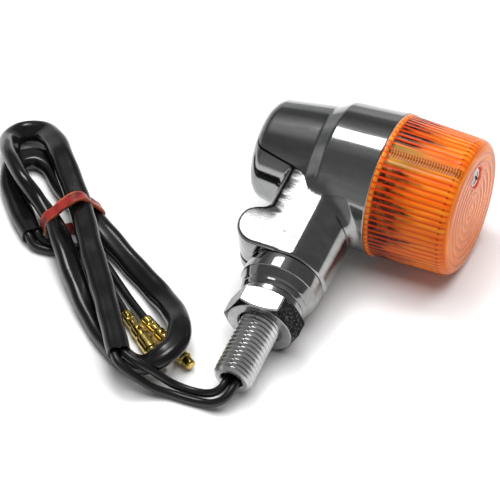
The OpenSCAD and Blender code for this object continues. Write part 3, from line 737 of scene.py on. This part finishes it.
def make_bullets():
    """Brass bullet connectors: a crimped ferrule with its inspection hole, a collar, a grooved barrel
    and a rounded nose."""
    made = {}
    for name, end in BULLET_ENDS.items():
        start = np.array(TAIL_ROUTES[name][-1], float)
        way = np.array(end) - start
        long = np.linalg.norm(way)
        x = way / long
        y = np.cross((0, 0, 1), x)
        y /= np.linalg.norm(y)
        turned = np.stack([x, y, np.cross(x, y)], -1)
        edge = 0.08
        outline = [(0.1, 1.35), (0.5, 1.5), (5.2, 1.42), (5.8, 1.7), (6.2, 1.75), (8.6, 1.75), (8.8, 1.4),
                   (9.5, 1.4), (9.8, BULLET_R), (long - 6.2, BULLET_R), (long - 5.9, 1.55),
                   (long - 5.1, 1.55), (long - 4.9, 1.85), (long - 3.4, 1.85), (long - 3.1, 1.5),
                   (long - 1.2, 1.3), (long - 0.9, 1.0)]
        turned_solid = profile_solid([(a, r - edge) for a, r in outline], edge)

        def solid(p, base=turned_solid):
            d = base(p)
            hole = np.maximum(np.hypot(p[:, 0] - 7.4, p[:, 1]) - 0.55, -p[:, 2])
            slit = np.maximum(np.maximum(np.abs(p[:, 1]) - 0.1, slab(p[:, 0], -1, 5.1)), 0.6 - p[:, 2])
            crimp = np.hypot(p[:, 0] - 2.9, p[:, 2] - 2.3) - 1.2
            d = without(d, hole, 0.08)
            d = without(d, slit, 0.04)
            return without(d, np.maximum(crimp, np.abs(p[:, 1]) - 0.9), 0.1)

        verts, faces, normals = meshed(solid, (-0.5, -2.5, -2.5), (long + 0.5, 2.5, 2.5), 0.14)
        made[name] = piece(f"bullet_{name}_brass", verts @ turned.T + start, faces, MATERIALS["brass"],
                           "stud", slot="brass", replaces=[f"bullet_{name}"], normals=normals @ turned.T)
    return made


def make_band():
    """The rubber band: a strap pulled tight round the sleeve's runs, its edges curling a little."""
    centres = np.array([(-4.6, 4.9), (0.9, 7.8), (4.4, 3.7)])
    path = []  # as (across the hank, up)
    for t in np.linspace(0, 2 * math.pi, 120, endpoint=False):
        out = np.array([math.cos(t), math.sin(t)])
        path.append(centres[np.argmax(centres @ out)] + out * BAND_INNER_R)
    path = np.array(path)
    closed = np.concatenate([path, path[:1]])
    walked = np.concatenate([[0], np.cumsum(np.linalg.norm(np.diff(closed, axis=0), axis=1))])
    even = np.linspace(0, walked[-1], 140, endpoint=False)
    path = np.stack([np.interp(even, walked, closed[:, i]) for i in range(2)], -1)
    tangent = np.roll(path, -1, 0) - np.roll(path, 1, 0)
    tangent /= np.linalg.norm(tangent, axis=1)[:, None]
    out = np.stack([tangent[:, 1], -tangent[:, 0]], -1)
    section = rounded_profile([(0, 0.05), (-0.5, 0.02), (-0.5, 1), (0, 1), (0.5, 1), (0.5, 0.02), (0, 0.05)],
                              0.16, 3)[:-1]
    verts = []
    for i, p in enumerate(path):
        s = even[i]
        sway = 0.22 * math.sin(s * 0.32 + 0.8) + 0.08 * math.sin(s * 1.3)
        wide = BAND_W * (1 + 0.05 * math.sin(s * 0.7))
        for across, high in section:
            curl = 0.10 * (2 * abs(across)) ** 2
            w = across * wide + sway
            h = high * BAND_T * (1 + 0.05 * math.sin(s * 1.9)) + curl * (high > 0.5)
            q = p + out[i] * h
            verts.append((BAND_MIDDLE[0] + q[0] * math.cos(BAND_TURN) + w * math.sin(BAND_TURN),
                          BAND_MIDDLE[1] + q[0] * math.sin(BAND_TURN) - w * math.cos(BAND_TURN), q[1]))
    faces = ring_faces(len(path), len(section), loop=True)
    piece("band_rubber", np.array(verts), faces, MATERIALS["red_rubber"], "stud", slot="red_rubber",
          replaces=["rubber_band"])


sleeve, sleeve_line = make_sleeve()
make_wires(sleeve_line)
make_tails(sleeve_line, make_bullets())
make_band()


# ------------ lamp housing
def housing_solid(p):
    x, y, z = p.T
    rad, stud_rad = np.hypot(y, z), np.hypot(x, y)
    xs = [REAR_X, MOUTH_X - CUP_LEN - STEP_LEN, MOUTH_X - CUP_LEN, MOUTH_X]
    outside = soft_line(x, xs, [BARREL_REAR_R, BARREL_FRONT_R, CUP_BACK_R, CUP_MOUTH_R], 0.35)
    body = both(rad - outside, REAR_X - x, REAR_EDGE_R)
    body = both(body, x - MOUTH_X, 0.2)

    # the leg, and the block with the clamp lobe that ends in the flat face
    leg = both(stud_rad - LEG_R, -LEG_DROP - z, 1.0)
    leg = np.maximum(leg, z + 4)
    lobe = np.hypot(x - LOBE_X, z - LOBE_Z) - LOBE_R
    shoulder = np.maximum(slab(x, FLAT_LEFT_X, FLAT_RIGHT_X), slab(z, LOBE_Z, -5))
    foot = both(np.maximum(LOBE_X - x, z - FOOT_TOP_Z), both(x - FLAT_RIGHT_X, FOOT_Z - z, 1.6), 0.01)
    outline = np.minimum(either(shoulder, lobe, 1.0), foot)
    block = both(outline, y - BLOCK_BACK_Y, 1.2)
    roll = np.clip((-3 - x) / 4, 0, 1) * np.clip((z + 26) / 4, 0, 1)
    edge = 0.8 + 1.8 * roll * roll * (3 - 2 * roll)  # widest along the notch
    arm = both(np.minimum(leg, block), -FLAT_Y - y, edge)
    d = np.minimum(either(body, np.maximum(leg, -FLAT_Y - y), 2.4), either(body, arm, 0.5))

    # the hollow, with the post that takes the lens screw
    d = without(d, cavity_solid(x, rad), 0.2)
    post = np.hypot(y - SCREW_Y, z - SCREW_Z)
    reach = np.maximum(post - POST_R, slab(x, POST_END_X, MOUTH_X - 1.5))
    d = np.minimum(d, np.maximum(reach, rad - POST_REACH_R))

    # the stud's bore, the way up to the hollow, the slit, and the screws' holes
    d = without(d, np.maximum(stud_rad - STUD_R - PLAY, z + STUD_TOP), 0.25)
    d = without(d, np.maximum(stud_rad - LEG_HOLLOW_R, slab(z, -STUD_TOP - 1, -LEG_HOLLOW_TOP)), 0.2)
    d = without(d, np.maximum(np.abs(y) - SLIT_W / 2, np.maximum(x + STUD_R - 1, z + SLIT_TOP)), 0.12)
    clamp = np.hypot(x + CLAMP_X, z + CLAMP_DROP)
    d = without(d, np.maximum(clamp - CLAMP_R, slab(y, -7.5, 5)), 0.1)
    d = without(d, np.maximum(clamp - CLAMP_R - 0.15, slab(y, 0, 6)), 0.1)
    d = without(d, np.maximum(clamp - CLAMP_SEAT_R, BLOCK_BACK_Y - y), 0.2)
    d = without(d, np.maximum(post - SCREW_R - PLAY, 1 - x), 0.1)
    for side in (1, -1):
        at = SCREW_AT + side * math.pi / 2
        hole = np.hypot(y + BRACKET_HOLE_OFF * math.sin(at), z - BRACKET_HOLE_OFF * math.cos(at))
        d = without(d, np.maximum(hole - BRACKET_HOLE_R, slab(x, -3.5, 2.5)), 0.1)
    return d


def cavity_solid(x, rad):
    room_r = np.interp(x, [ROOM_END_X, ROOM_FRONT_X], [ROOM_END_R, ROOM_FRONT_R])
    room = np.maximum(rad - room_r, ROOM_END_X - x)
    cup = np.maximum(rad - CUP_HOLLOW_R, CUP_HOLLOW_X - x)
    seat = np.maximum(rad - SEAT_R, MOUTH_X - SEAT_DEPTH - x)
    return np.minimum(room, np.minimum(cup, seat))


solid_piece("housing_chrome", housing_solid, (-21, -19, -36), (14, 19, 19), 0.36, MATERIALS["chrome"],
            "lamp", slot="chrome", replaces=["housing"])


# ------------ lens
def lens_solid(p):
    x, y, z = p.T
    rad, turn = np.hypot(y, z), np.arctan2(z, y)
    back, end = MOUTH_X + 0.1, LENS_END_X
    wide = np.interp(x, [back, back + 0.75, back + 0.95, end - LENS_EDGE_R],
                     [CUP_MOUTH_R - 0.05, CUP_MOUTH_R - 0.05, CUP_MOUTH_R - 0.35, LENS_END_R])
    ripple = 0.07 * np.cos(rad * 2 * math.pi / RING_GAP) * np.clip((LENS_END_R - 3.2 - rad) / 0.8, 0, 1)
    fade = np.clip((x - back - 0.9) / 0.7, 0, 1) * np.clip((end - 2.3 - x) / 0.6, 0, 1)
    flute = fade * (0.5 + 0.5 * np.cos(turn * RIBS))
    outer = both(rad - wide + 0.14 * flute, x - end - ripple, LENS_EDGE_R)
    outer = both(outer, back - x, 0.1)
    spigot = np.maximum(rad - 15.6, slab(x, MOUTH_X - 2.4, back + 1))
    d = np.minimum(outer, spigot)
    hollow_r = np.interp(x, [MOUTH_X, MOUTH_X + 1, MOUTH_X + 2, end - LENS_WALL - 2],
                         [14.4, 14.4, 16.1, LENS_END_R - LENS_WALL + 0.1])
    rings = 0.16 * np.cos(rad * 2 * math.pi / RING_GAP + 1.2)
    hollow = both(rad - hollow_r + 0.35 * flute, x - end + LENS_WALL - rings, 1.8)
    d = without(d, hollow, 0.15)
    off = np.hypot(y - SCREW_Y, z - SCREW_Z)
    boss = np.maximum(off - 2.6, slab(x, MOUTH_X - 1, end - 0.5))
    pad = np.maximum(off - RECESS_R - 0.9, slab(x, RECESS_X - 1.2, end - 0.5))
    d = either(d, np.minimum(boss, pad), 0.4)
    d = without(d, off - SCREW_R - 0.2, 0.1)
    return without(d, np.maximum(off - RECESS_R, RECESS_X - x), 0.25)


lens = solid_piece("lens_amber", lens_solid, (10, -19, -19), (35.4, 19, 19), 0.3, MATERIALS["amber"],
                   "lens", slot="amber", replaces=["lens"])
lens.visible_glossy = False  # the photographed metal is neutral, with no amber in it


# ------------ turned and threaded pieces
def threaded(r, depth, pitch, start, end, chamfer, sides, bore=0.0, plain_to=None, ridge_at=None):
    """A threaded rod about +X from start to end: (verts, faces). Before plain_to it has no thread. A low
    seam can run along it at the angle ridge_at."""
    plain_to = start if plain_to is None else plain_to
    t = np.arange(sides) * 2 * math.pi / sides
    rings = [turned_ring(q, bore, sides) for q in (end - 0.3, start)] if bore else []
    for q in [start] + list(np.arange(plain_to, end, pitch / 9)) + [end]:
        phase = np.mod(q / pitch - t / (2 * math.pi), 1.0)
        cut = np.clip((np.abs(phase - 0.5) * 2 - 0.12) / 0.76, 0, 1)
        radius = r - depth * cut * np.clip((q - plain_to) / pitch, 0, 1)
        if ridge_at is not None:
            line = np.exp(-((np.mod(t - ridge_at + math.pi, 2 * math.pi) - math.pi) * r / 0.16) ** 2)
            seam = r - depth * 0.45 + line * depth * 0.5
            radius = np.where(line < 0.05, radius, np.maximum(radius, seam))
        rings.append(turned_ring(q, np.minimum(radius, r - chamfer + (end - q)), sides))
    if bore:
        rings.append(turned_ring(end, bore + 0.25, sides))
    return np.concatenate(rings), ring_faces(len(rings), sides, loop=bool(bore))


def make_stud():
    verts, faces = threaded(STUD_R, THREAD_DEPTH, THREAD_PITCH, STUD_TOP, STUD_DROP, STUD_CHAMFER, 96,
                            bore=STUD_BORE_R, plain_to=COLLAR_DROP, ridge_at=math.radians(-8))
    piece("stud_threaded", down_stud(verts), faces, MATERIALS["thread"], "stud", slot="zinc",
          replaces=["stud"], sharp=32)


def make_collar():
    top, inner, sides = LEG_DROP + 0.2, STUD_R + PLAY, 128
    profile = [(top, inner), (top, COLLAR_R), (top + 3.9, COLLAR_R), (top + 4.0, COLLAR_R - 0.25),
               (top + 6.2, COLLAR_R - 1.1), (top + 6.6, 8.45), (top + 7.0, 8.65), (COLLAR_DROP, 8.0),
               (COLLAR_DROP, inner)]
    rings = [turned_ring(x, r, sides) for x, r in rounded_profile(profile, 0.28)]
    piece("collar_turned", down_stud(np.concatenate(rings)), ring_faces(len(rings), sides, loop=True),
          MATERIALS["collar"], "stud", slot="chrome", replaces=["swivel_collar"], sharp=50)


def nut_solid(p):
    x, y, z = p.T
    drop, away = -z, np.hypot(x, y)
    d = both(hexagon(x, y, NUT_FLAT_R, 30), slab(drop, NUT_FRONT - NUT_T, NUT_FRONT), 0.12)
    slope = math.radians(30)
    for edge in (drop - NUT_FRONT, NUT_FRONT - NUT_T - drop):
        cone = (edge + (away - NUT_FLAT_R + 0.35) * math.tan(slope)) * math.cos(slope)
        d = both(d, cone, 0.1)
    hole = away - STUD_R - PLAY
    mouth = away - STUD_R - 0.75 + np.minimum(np.abs(drop - NUT_FRONT), np.abs(drop - NUT_FRONT + NUT_T))
    return without(d, np.minimum(hole, mouth), 0.08)


def washer_solid(p):
    """A spring washer, split at one side."""
    x, y, z = p.T
    away, split = np.hypot(x, y), math.radians(200)
    d = both(np.abs(away - 6.6) - 1.4, slab(-z, COLLAR_DROP, COLLAR_DROP + WASHER_T), 0.18)
    turn = np.mod(np.arctan2(y, x) - split, 2 * math.pi)
    gap = np.abs(np.mod(turn + math.pi, 2 * math.pi) - math.pi) * away - 0.4
    return without(d, np.maximum(gap, -(x * math.cos(split) + y * math.sin(split))), 0.1)


def clamp_screw_solid(p):
    x, y, z = p.T
    u, v = x + CLAMP_X, z + CLAMP_DROP
    off = np.hypot(u, v)
    shank = np.maximum(off - CLAMP_R + PLAY, slab(y, -7, 5))
    head = both(off - CLAMP_HEAD_R, slab(y, 4.5, 8.3), 0.55)
    socket = np.maximum(hexagon(u, v, CLAMP_SOCKET_R, 0), 6.2 - y)
    return without(np.minimum(shank, head), socket, 0.12)


def cross_slot(u, v, depth_from, along, w, reach):
    """A cross recess: two tapered slots."""
    a = np.maximum(np.abs(u) - w, np.abs(v) - reach)
    b = np.maximum(np.abs(v) - w, np.abs(u) - reach)
    return np.maximum(np.minimum(a, b), depth_from - along)


def make_lens_screw():
    head_x = RECESS_X + 0.05

    def head(p):
        x, y, z = p.T
        u, v = y - SCREW_Y, z - SCREW_Z
        off = np.hypot(u, v)
        top = head_x + SCREW_HEAD_T - 0.06 * off ** 2
        d = both(off - SCREW_HEAD_R, np.maximum(head_x - x, x - top), 0.3)
        c, s = math.cos(0.5), math.sin(0.5)
        depth = head_x + 0.55 + 0.35 * off
        return without(d, cross_slot(c * u + s * v, c * v - s * u, depth, x, 0.36, 1.6), 0.08)

    verts, faces, _ = meshed(head, (head_x - 0.4, SCREW_Y - 3, SCREW_Z - 3),
                             (head_x + 2.2, SCREW_Y + 3, SCREW_Z + 3), 0.12)
    shank, shank_faces = threaded(SCREW_R, SCREW_DEPTH, SCREW_PITCH, 3.0, head_x + 0.2, 0.0, 32)
    verts, faces = joined((verts, faces), (shank + [0, SCREW_Y, SCREW_Z], shank_faces))
    piece("lens_screw_cross", laid(verts), faces, MATERIALS["screw_steel"], "lens_screw",
          slot="screw_steel", replaces=["lens_screw"], sharp=35)


def make_contact_spring():
    """The coil behind the centre contact."""
    low, high = (np.array(c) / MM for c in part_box("contact_spring"))
    middle, long = (low + high) / 2, high[0] - low[0]
    radius = (high[2] - low[2]) / 2 - SPRING_WIRE_R
    a = np.linspace(0, 2 * math.pi * SPRING_TURNS, 36 * SPRING_TURNS + 1)
    b = (np.arange(8) * 2 * math.pi / 8)[None, :, None]
    out = np.stack([np.zeros_like(a), np.cos(a), np.sin(a)], -1)
    centre = radius * out + [0, middle[1], middle[2]]
    centre[:, 0] = np.linspace(low[0] + SPRING_WIRE_R, high[0] - SPRING_WIRE_R, len(a))
    rings = centre[:, None] + SPRING_WIRE_R * (np.cos(b) * [1, 0, 0] + np.sin(b) * out[:, None])
    coil = piece("contact_coil", *tube(rings), MATERIALS["screw_steel"], "lamp", slot="screw_steel",
                 replaces=["contact_spring"])
    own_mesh(coil)


make_contact_spring()
make_stud()
make_collar()
solid_piece("nut_hex", nut_solid, (-10.6, -9.4, -51.2), (10.6, 9.4, -44), 0.2, MATERIALS["nut"], "nut",
            slot="zinc", replaces=["nut"])
solid_piece("washer_split", washer_solid, (-8.6, -8.6, -45.1), (8.6, 8.6, -42.5), 0.18,
            MATERIALS["zinc"], "washer", slot="zinc", replaces=["spring_washer"])
solid_piece("clamp_screw_socket", clamp_screw_solid, (-13.8, -7.8, -32.4), (-5, 8.9, -23.6), 0.2,
            MATERIALS["dark_steel"], "clamp_screw", slot="dark_steel", replaces=["clamp_screw"])
make_lens_screw()


# ------------ floor, lights and world
FLOOR_R, FLOOR_SIDES = 3, 64


def make_floor():
    m = Nodes("floor_paper", grey(0.86), roughness=0.9)
    m.colour(m.mix(m.step(m.noise(3, 3), 0.3, 0.8), grey(0.87), (0.84, 0.84, 0.845)))
    m.bump(m.noise(900, 2), 0.03, 0.0001)
    mesh = bpy.data.meshes.new("floor")
    angles = [2 * math.pi * k / FLOOR_SIDES for k in range(FLOOR_SIDES)]
    ring = [(FLOOR_R * math.cos(a), FLOOR_R * math.sin(a), 0) for a in angles]
    mesh.from_pydata(ring, [], [tuple(range(FLOOR_SIDES))])
    mesh.materials.append(m.mat)
    floor = bpy.data.objects.new("floor", mesh)
    bpy.context.scene.collection.objects.link(floor)


LIT_POINT = (-0.01, 0.0, 0.02)
# (direction, metres away, size, watts)
KEY = (Vector((-0.31, 0.26, 0.915)), 0.7, (0.27, 0.22), 1.75)
FILL = (Vector((0.03, 0.1, 1.0)), 0.6, (0.65, 0.65), 5.6)


def soft_box(name, towards, distance, size, power, glossy=True):
    data = bpy.data.lights.new(name, "AREA")
    data.shape = "RECTANGLE"
    data.size, data.size_y = size
    data.energy = power
    light = bpy.data.objects.new(name, data)
    bpy.context.scene.collection.objects.link(light)
    out = towards.normalized()
    side = Vector((1, 0, 0)) - out * out.x
    side.normalize()
    light.location = Vector(LIT_POINT) + out * distance
    light.rotation_mode = "QUATERNION"
    light.rotation_quaternion = Matrix((side, out.cross(side), out)).transposed().to_quaternion()
    light.visible_glossy = glossy


ROOM, BACKDROP, KEY_GLOW, FRONT = 0.17, 0.42, 0.3, 0.22  # how bright the world is


def make_world():
    """A dim room, pale low down behind on the left, with a soft glow round the key light and a little
    paler in front."""
    world = bpy.data.worlds.new("studio")
    bpy.context.scene.world = world
    world.use_nodes = True
    tree = world.node_tree
    place = tree.nodes.new("ShaderNodeTexCoord").outputs["Generated"]

    def towards(direction, low, high, low_to, high_to):
        dot = tree.nodes.new("ShaderNodeVectorMath")
        dot.operation = "DOT_PRODUCT"
        tree.links.new(place, dot.inputs[0])
        dot.inputs[1].default_value = Vector(direction).normalized()
        ramp = tree.nodes.new("ShaderNodeMapRange")
        ramp.interpolation_type = "SMOOTHSTEP"
        tree.links.new(dot.outputs["Value"], ramp.inputs[0])
        for socket, value in zip(list(ramp.inputs)[1:5], (low, high, low_to, high_to)):
            socket.default_value = value
        return ramp.outputs[0]

    def combined(operation, a, b):
        node = tree.nodes.new("ShaderNodeMath")
        node.operation = operation
        tree.links.new(a, node.inputs[0])
        if isinstance(b, float):
            node.inputs[1].default_value = b
        else:
            tree.links.new(b, node.inputs[1])
        return node.outputs[0]

    total = combined("MULTIPLY", towards((0, 0, 1), 0.24, 0.38, BACKDROP, 0.0),
                     towards((-0.6, 0.8, 0), 0.0, 0.6, 0.0, 1.0))
    for more in (ROOM, towards(KEY[0], 0.82, 1.0, 0.0, KEY_GLOW),
                 towards((0.15, -1, 0.1), 0.5, 0.95, 0.0, FRONT)):
        total = combined("ADD", total, more)
    tree.links.new(total, tree.nodes["Background"].inputs["Color"])


make_floor()
make_world()
soft_box("key", *KEY)
soft_box("fill", *FILL, glossy=False)
bpy.context.scene.view_settings.view_transform = "Standard"
